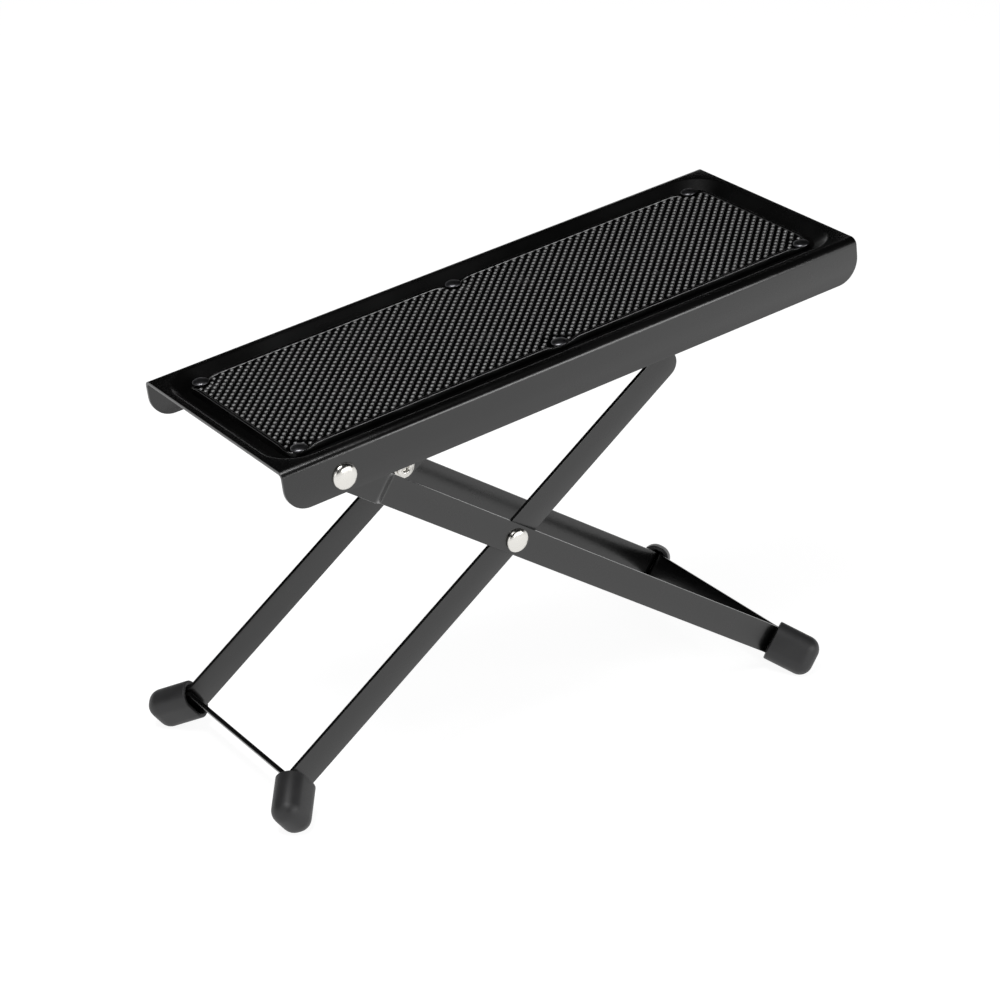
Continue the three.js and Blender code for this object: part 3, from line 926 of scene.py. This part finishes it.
def tread_sheet():
    """The sheet, lower inside its rim by the height of the studs, and dipped at the rivets."""
    bm = bmesh.new()
    tip = bm.verts.layers.float.new("tip")
    length, width = mat_length - 2 * mat_draft, mat_width - 2 * mat_draft
    face = rounded_sheet(bm, length, width, mat_corner - mat_draft, middle_x, mat_top)
    low = [e for e in drawn_out(bm, list(face.edges), (0, 0, -mat_thickness)) if e.is_boundary]
    resized(bm, verts_of(low), mat_length / length, mat_width / width)
    bmesh.ops.contextual_create(bm, geom=low)
    for inset, depth in ((mat_rim, 0), (mat_rim_slope, -stud_height)):
        bmesh.ops.inset_region(bm, faces=[face], thickness=inset, depth=depth, use_even_offset=True)
    lip_turn = math.radians(soft_from)
    lip = [e for e in bm.edges if lie_at(e.verts, 2, mat_top) and e.calc_face_angle(0) > lip_turn]
    for v in rounded(bm, lip, mat_lip_round, segments=3)["verts"]:
        v[tip] = edge_tip
    bmesh.ops.recalc_face_normals(bm, faces=bm.faces)
    spans = [-span for span in reversed(strip_cuts)] + [0, *strip_cuts]
    cuts = [((x + dx, 0, 0), (1, 0, 0)) for x in tread_rivet_x.values() for dx in spans]
    cuts += [((0, side * tread_rivet_y + dy, 0), (0, 1, 0)) for _, side in sides for dy in spans]
    for point, normal in cuts:
        bmesh.ops.bisect_plane(bm, geom=everything(bm), plane_co=point, plane_no=normal)
    bottom = mat_top - mat_thickness
    for v in bm.verts:
        v.co.z -= dimple * pressed(v.co.x, v.co.y) * (v.co.z - bottom) / mat_thickness
    return bm


tread = tread_sheet()
print("sheet with", len(tread.verts), "points")

# %% Places of the studs
stud_radius = 1.12
stud_pitch = 4.5
# A stud may stand a little way under the edge of a rivet's head.
rivet_room = 0.55 * stud_radius


def stud_centre(x, y):
    """The middle of the stud that a point lies on. Every other row is shifted by half a pitch."""
    choices = []
    for shift in (0, stud_pitch / 2):
        u = round((x - shift) / stud_pitch) * stud_pitch + shift
        v = round((y - shift) / stud_pitch) * stud_pitch + shift
        choices.append(((u - x) ** 2 + (v - y) ** 2, u, v))
    return min(choices)[1:]


def in_field(x, y):
    """Whether a stud fits inside the rim and clear of the rivets, from the tread's middle."""
    room = mat_draft + mat_rim + stud_radius + mat_rim_slope
    corner = mat_corner - room
    over_x = max(abs(x) - (mat_length / 2 - room - corner), 0)
    over_y = max(abs(y) - (mat_width / 2 - room - corner), 0)
    clear = min((Vector((x + middle_x, y)) - rivet).length for rivet in tread_rivets)
    return math.hypot(over_x, over_y) <= corner and clear > tread_head_radius + rivet_room


print("a stud in the middle", in_field(0, 0), "and one at the edge", in_field(mat_length / 2, 0))

# %% Studs
stud_sunk = 0.06
full_tip = 0.87
doublings_along = 6
doublings_across = 5


def one_stud():
    """A dome that stands a little way inside the sheet. Its tip value grows with its height and sets its painted
    highlight.
    """
    bm = bmesh.new()
    tip = bm.verts.layers.float.new("tip")
    bmesh.ops.create_uvsphere(bm, u_segments=8, v_segments=6, radius=stud_radius)
    for v in bm.verts:
        v[tip] = min(max(v.co.z / stud_radius / full_tip, 0), 1)
    bmesh.ops.delete(bm, geom=[v for v in bm.verts if v.co.z < -close], context="VERTS")
    bmesh.ops.contextual_create(bm, geom=[e for e in bm.edges if e.is_boundary])
    bmesh.ops.scale(bm, vec=(1, 1, (stud_height + stud_sunk) / stud_radius), verts=bm.verts)
    bmesh.ops.translate(bm, vec=(0, 0, mat_top - stud_height - stud_sunk), verts=bm.verts)
    return bm


def stud_field():
    """The studs, doubled from one, without those that don't fit, and dipped at the rivets."""
    bm = one_stud()
    moves = [(stud_pitch / 2, stud_pitch / 2)]
    moves += [(stud_pitch * 2**k, 0) for k in range(doublings_along)]
    moves += [(0, stud_pitch * 2**k) for k in range(doublings_across)]
    for dx, dy in moves:
        made = bmesh.ops.duplicate(bm, geom=everything(bm))["geom"]
        bmesh.ops.translate(bm, vec=(dx, dy, 0), verts=picked(made, bmesh.types.BMVert))
    back = [-stud_pitch * 2 ** (doublings - 1) for doublings in (doublings_along, doublings_across)]
    bmesh.ops.translate(bm, vec=(*back, 0), verts=bm.verts)
    centres = {v: stud_centre(v.co.x, v.co.y) for v in bm.verts}
    fits = {centre: in_field(*centre) for centre in set(centres.values())}
    spare = [v for v, centre in centres.items() if not fits[centre]]
    bmesh.ops.delete(bm, geom=spare, context="VERTS")
    print("studs", sum(fits.values()))
    for v in bm.verts:
        x, y = stud_centre(v.co.x, v.co.y)
        v.co.x += middle_x
        v.co.z -= dimple * pressed(x + middle_x, y)
    return bm


field = stud_field()
field_mesh = bpy.data.meshes.new("stud_field")
field.to_mesh(field_mesh)
field.free()
tread.from_mesh(field_mesh)
tread_piece = shaped(tread, "studded_tread", clean=False)
settle(
    tread_piece,
    on_platform,
    tread_rubber,
    "platform_assembly",
    "tread_mat",
    sharp=mat_sharp_from,
)

# %% Tread rivets
lay_gap = 0.1
tread_dome = 1.5
tread_edge = 0.35
tread_head_chamfer = 0.1
tread_shank_radius = 1.7
tread_tail_radius = 2.8
tread_tail_height = 1.0
tread_tail_chamfer = 0.2
seat = mat_top - dimple + lay_gap
under = -tray_depth - plate_sheet - lay_gap
tail_end = under - tread_tail_height
for where, x in tread_rivet_x.items():
    for side_name, side in sides:
        profile = [
            (0, tail_end),
            (tread_tail_radius - tread_tail_chamfer, tail_end),
            (tread_tail_radius, tail_end + tread_tail_chamfer),
            (tread_tail_radius, under),
            (tread_shank_radius, under),
            (tread_shank_radius, seat),
            (tread_head_radius - tread_head_chamfer, seat),
        ]
        head = (tread_head_radius, tread_dome - tread_edge, seat + tread_edge)
        piece = shaped(spun(profile, head, steps=32), f"tread_rivet_{where}_{side_name}")
        at = on_platform @ Matrix.Translation((x, side * tread_rivet_y, 0))
        node = f"mat_rivet_{where}_{side_name}"
        settle(piece, at, black_nickel, "platform_assembly", node, sharp=rivet_sharp_from)

# %% [markdown]
# ## Racks and rest rod
# Under the tray are two stamped racks with six notches each, and a round rod between the inner arms
# rests in one pair of them. The model's racks already have the right outline, so that a copy of each
# only needs its loose triangles merged, its flat faces made whole and its cut edges eased. The rod is
# a cylinder turned with small chamfers.

# %% Racks
rack_edge = 0.25
flat_within = math.radians(1)
for side_name, _ in sides:
    bm = bmesh.new()
    bm.from_mesh(frame["nodes"][f"rack_{side_name}"].data)
    bmesh.ops.scale(bm, vec=(1 / MM, 1 / MM, 1 / MM), verts=bm.verts)
    bmesh.ops.remove_doubles(bm, verts=bm.verts, dist=weld)
    bmesh.ops.dissolve_limit(bm, angle_limit=flat_within, verts=bm.verts, edges=bm.edges)
    rack = shaped(bm, f"stamped_rack_{side_name}", softened(rack_edge), clean=False)
    settle(rack, Matrix.Scale(MM, 4), coat, "platform_assembly", f"rack_{side_name}")

# %% Rest rod
rod_radius = 4.0
rod_chamfer = 0.4
rod_end = inner_arm - bar - lay_gap
profile = [
    (0, -rod_end),
    (rod_radius - rod_chamfer, -rod_end),
    (rod_radius, rod_chamfer - rod_end),
    (rod_radius, rod_end - rod_chamfer),
    (rod_radius - rod_chamfer, rod_end),
    (0, rod_end),
]
rod = shaped(spun(profile), "rest_rod_turned")
settle(rod, pin_place(on_inner, rod_arm, 0, 1), coat, "inner_legs", "rest_rod")

# %% [markdown]
# ## Floor, background and light
# The footrest stands on a plain white floor, as in a catalogue picture. To the camera and to mirrors the
# floor is white, and it is partly an ordinary surface, so that a soft shadow stays on it. The air is
# white to the camera; mirrors see it white only near the horizon, so that the flat top, which mirrors
# the air higher up, stays black. Satin black paint shows what it mirrors, so the lamps are placed by
# that: a low soft box in front gives the near bend its highlight, one overhead lights the studs and
# the heads of the rivets, and a faint one at the left lights the feet.

# %% Floor
white = (1, 1, 1, 1)
floor_glow = 0.9
floor_paper = (0.25, 0.25, 0.25, 1)
floor_half = 6


def studio_floor():
    """A floor that glows for the camera and for mirrors, and is dim paper to the rest."""
    material, tree = new_material("white_studio_floor")
    rays = add(tree, "ShaderNodeLightPath")
    seen = (rays, "Is Camera Ray")
    for ray in ("Is Glossy Ray", "Is Transmission Ray"):
        either = add(tree, "ShaderNodeMath", {0: seen, 1: (rays, ray)}, operation="MAXIMUM")
        seen = (either, "Value")
    glow = add(tree, "ShaderNodeMath", {0: seen, 1: floor_glow}, operation="MULTIPLY")
    light = add(tree, "ShaderNodeEmission", {"Color": white, "Strength": (glow, "Value")})
    paper = add(tree, "ShaderNodeBsdfDiffuse", {"Color": floor_paper})
    both = add(tree, "ShaderNodeAddShader", {0: (light, "Emission"), 1: (paper, "BSDF")})
    add(tree, "ShaderNodeOutputMaterial", {"Surface": (both, "Shader")})
    bm = bmesh.new()
    bmesh.ops.create_grid(bm, x_segments=1, y_segments=1, size=floor_half)
    mesh = bpy.data.meshes.new("studio_floor")
    bm.to_mesh(mesh)
    bm.free()
    floor = bpy.data.objects.new("studio_floor", mesh)
    bpy.context.scene.collection.objects.link(floor)
    floor.data.materials.append(material)


studio_floor()
print("floor laid, with a glow of", floor_glow)

# %% Air
air_fill = 0.25
# The heights of a direction between which the mirrored air fades from white to black.
fade_low, fade_high = 0.1, 0.25


def studio_air():
    """A world that is white to the camera, black above a mirror's horizon, and dim to the rest."""
    world = bpy.data.worlds.new("studio_air")
    bpy.context.scene.world = world
    world.use_nodes = True
    tree = world.node_tree
    tree.nodes.clear()
    rays = add(tree, "ShaderNodeLightPath")
    where = add(tree, "ShaderNodeTexCoord")
    parts = add(tree, "ShaderNodeSeparateXYZ", {"Vector": (where, "Generated")})
    mirrored = add(
        tree,
        "ShaderNodeMapRange",
        {
            "Value": (parts, "Z"),
            "From Min": fade_low,
            "From Max": fade_high,
            "To Min": 1.0,
            "To Max": 0.0,
        },
    )
    unseen = add(
        tree,
        "ShaderNodeMix",
        {"Factor": (rays, "Is Glossy Ray"), "A": air_fill, "B": (mirrored, "Result")},
        data_type="FLOAT",
    )
    seen = add(
        tree,
        "ShaderNodeMath",
        {0: (rays, "Is Camera Ray"), 1: (rays, "Is Transmission Ray")},
        operation="MAXIMUM",
    )
    level = add(
        tree,
        "ShaderNodeMix",
        {"Factor": (seen, "Value"), "A": (unseen, "Result"), "B": 1.0},
        data_type="FLOAT",
    )
    air = add(tree, "ShaderNodeBackground", {"Color": white, "Strength": (level, "Result")})
    add(tree, "ShaderNodeOutputWorld", {"Surface": (air, "Background")})


studio_air()
print("air is white to the camera, and gives the rest", air_fill)

# %% Lamps
aim = Vector((0, 0, 0.12))


def soft_box(name, direction, distance, size, watts):
    """A soft box that looks at the middle of the footrest from a direction."""
    data = bpy.data.lights.new(name, "AREA")
    data.shape = "RECTANGLE"
    data.size, data.size_y = size
    data.energy = watts
    lamp = bpy.data.objects.new(name, data)
    bpy.context.scene.collection.objects.link(lamp)
    lamp.location = aim + Vector(direction).normalized() * distance
    lamp.rotation_euler = (aim - lamp.location).to_track_quat("-Z", "Y").to_euler()
    print(name, watts, "W at", [round(c, 2) for c in lamp.location])


soft_box("low_front_soft_box", (0.35, -0.87, 0.3), 1.4, (1.2, 0.35), 8)
soft_box("overhead_soft_box", (-0.4, -0.15, 0.9), 1.4, (0.6, 0.5), 11)
soft_box("left_soft_box", (-1.0, -0.35, 0.3), 1.5, (0.8, 0.5), 2)

# %% The end
print("the end")
